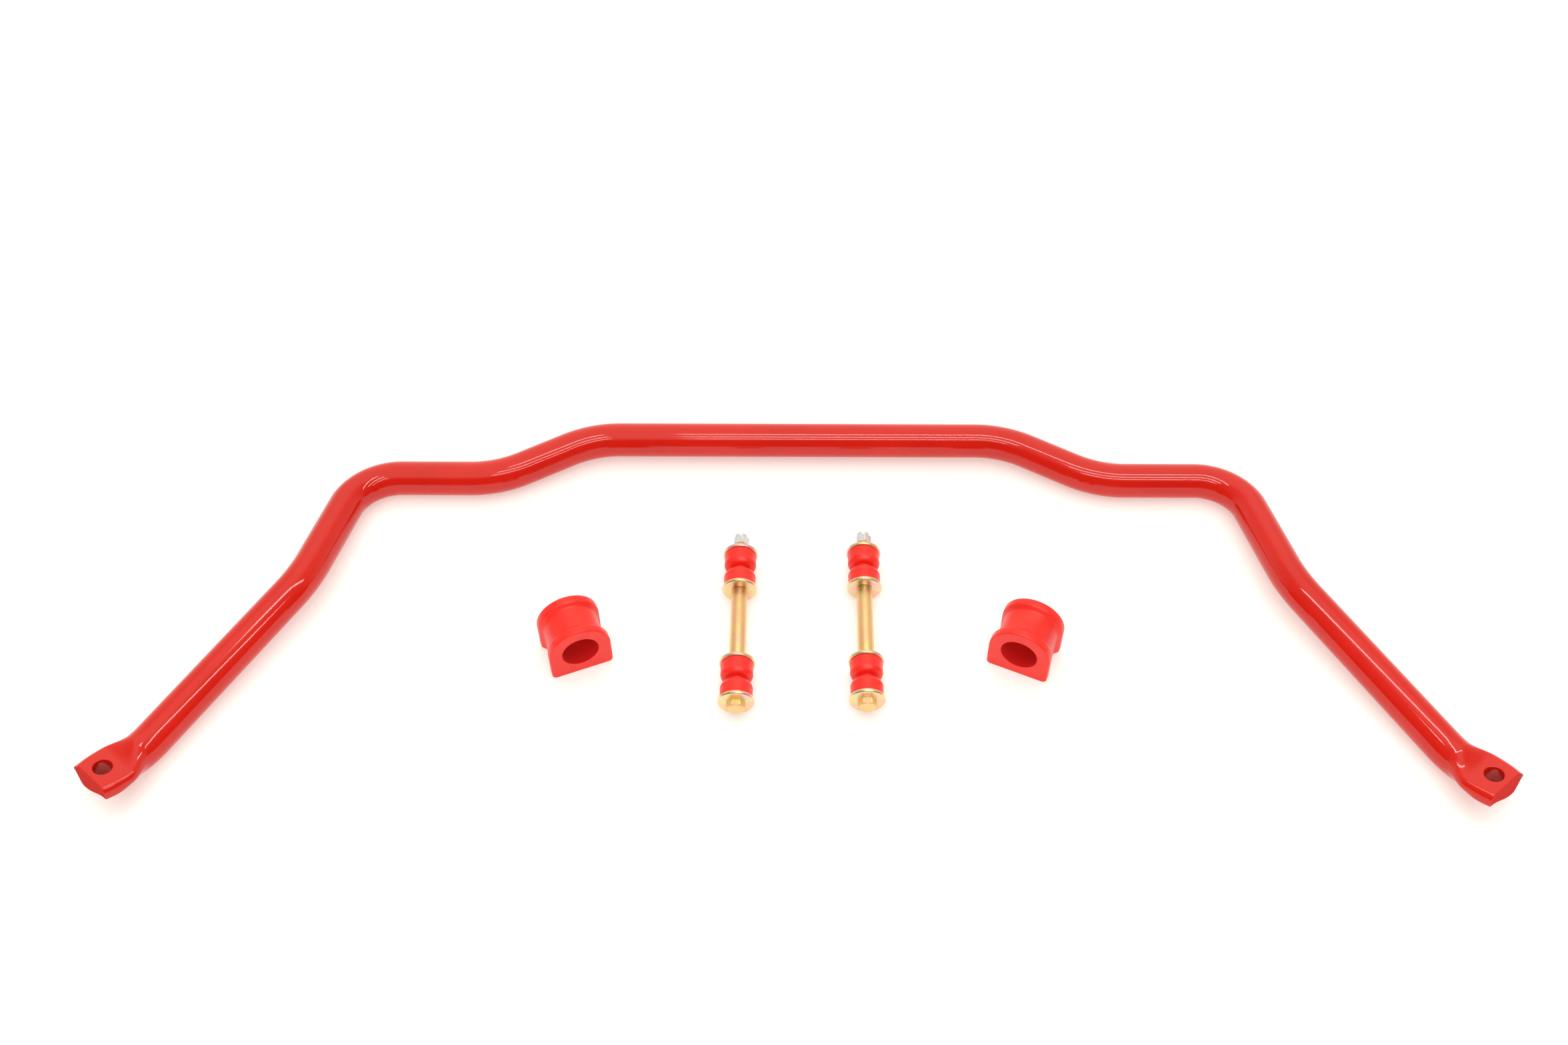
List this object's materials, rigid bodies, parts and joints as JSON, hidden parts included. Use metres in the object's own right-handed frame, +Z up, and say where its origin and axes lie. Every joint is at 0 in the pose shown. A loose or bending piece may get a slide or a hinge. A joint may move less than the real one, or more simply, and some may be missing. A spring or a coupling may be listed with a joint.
{
  "type": "sway bar",
  "caption": "Bent round anti-roll bar with flattened drilled eyes, laid out with its D-shaped frame bushings and bolt-through end links.",
  "frame": {"origin": "middle of the kit's footprint, on the surface that it lies on", "axes": "+X along the bar to its right end, +Y from the eyes to the centre section, +Z up off the surface"},
  "size_m": [1.169, 0.4122, 0.0531],
  "materials": {
    "powder_coat": "gloss red powder coat on forged steel rod",
    "polyurethane": "moulded red polyurethane, semi-gloss",
    "yellow_zinc": "yellow zinc plate with a faint iridescence",
    "clear_zinc": "bright clear zinc plate",
    "nylon": "translucent white nylon"
  },
  "bodies": {
    "bar_left": {"bar_left_half": "powder_coat"},
    "bar_right": {"bar_right_half": "powder_coat"},
    "left_bushing": {"left_frame_bushing": "polyurethane"},
    "right_bushing": {"right_frame_bushing": "polyurethane"},
    "left_link": {"left_link_bolt": "yellow_zinc", "left_link_head_end_outer_washer": "yellow_zinc", "left_link_head_end_outer_grommet": "polyurethane", "left_link_head_end_inner_grommet": "polyurethane", "left_link_head_end_inner_washer": "yellow_zinc", "left_link_nut_end_inner_washer": "yellow_zinc", "left_link_nut_end_inner_grommet": "polyurethane", "left_link_nut_end_outer_grommet": "polyurethane", "left_link_nut_end_outer_washer": "yellow_zinc"},
    "left_link_spacer": {"left_link_sleeve": "yellow_zinc"},
    "left_link_nut_carrier": {"left_link_nut_insert": "nylon"},
    "left_link_lock_nut": {"left_link_nut": "clear_zinc"},
    "right_link": {"right_link_bolt": "yellow_zinc", "right_link_head_end_outer_washer": "yellow_zinc", "right_link_head_end_outer_grommet": "polyurethane", "right_link_head_end_inner_grommet": "polyurethane", "right_link_head_end_inner_washer": "yellow_zinc", "right_link_nut_end_inner_washer": "yellow_zinc", "right_link_nut_end_inner_grommet": "polyurethane", "right_link_nut_end_outer_grommet": "polyurethane", "right_link_nut_end_outer_washer": "yellow_zinc"},
    "right_link_spacer": {"right_link_sleeve": "yellow_zinc"},
    "right_link_nut_carrier": {"right_link_nut_insert": "nylon"},
    "right_link_lock_nut": {"right_link_nut": "clear_zinc"}
  },
  "joints": [
    {"name": "bar_twist", "type": "hinge", "parent": "bar_left", "child": "bar_right", "pos_m": [0, 0.1412, 0.01588], "axis": [1, 0, 0], "range_deg": [-17, 17], "stiffness_Nm_per_rad": 9000},
    {"name": "left_bushing_lift", "type": "slide", "parent": "bar_left", "child": "left_bushing", "axis": [0, 0, 1], "range_m": [0, 0.1]},
    {"name": "right_bushing_lift", "type": "slide", "parent": "bar_left", "child": "right_bushing", "axis": [0, 0, 1], "range_m": [0, 0.1]},
    {"name": "left_link_lift", "type": "slide", "parent": "bar_left", "child": "left_link", "axis": [0, 0, 1], "range_m": [0, 0.1]},
    {"name": "right_link_lift", "type": "slide", "parent": "bar_left", "child": "right_link", "axis": [0, 0, 1], "range_m": [0, 0.1]},
    {"name": "left_sleeve_spin", "type": "hinge", "parent": "left_link", "child": "left_link_spacer", "pos_m": [-0.0504, -0.0269, 0.01545], "axis": [0, 1, 0], "continuous": true},
    {"name": "left_nut_travel", "type": "slide", "parent": "left_link", "child": "left_link_nut_carrier", "axis": [0, 1, 0], "range_m": [-0.0064, 0.0096]},
    {"name": "left_nut_turn", "type": "hinge", "parent": "left_link_nut_carrier", "child": "left_link_lock_nut", "pos_m": [-0.0504, 0.0661, 0.01545], "axis": [0, 1, 0], "range_deg": [-1440, 2160]},
    {"name": "right_sleeve_spin", "type": "hinge", "parent": "right_link", "child": "right_link_spacer", "pos_m": [0.0598, -0.0244, 0.01545], "axis": [0, 1, 0], "continuous": true},
    {"name": "right_nut_travel", "type": "slide", "parent": "right_link", "child": "right_link_nut_carrier", "axis": [0, 1, 0], "range_m": [-0.0064, 0.0096]},
    {"name": "right_nut_turn", "type": "hinge", "parent": "right_link_nut_carrier", "child": "right_link_lock_nut", "pos_m": [0.0598, 0.0686, 0.01545], "axis": [0, 1, 0], "range_deg": [-1440, 2160]}
  ],
  "couplings": [
    {"joint": "left_nut_travel", "follows": "left_nut_turn", "m_per_rad": 0.00025266},
    {"joint": "right_nut_travel", "follows": "right_nut_turn", "m_per_rad": 0.00025266}
  ]
}
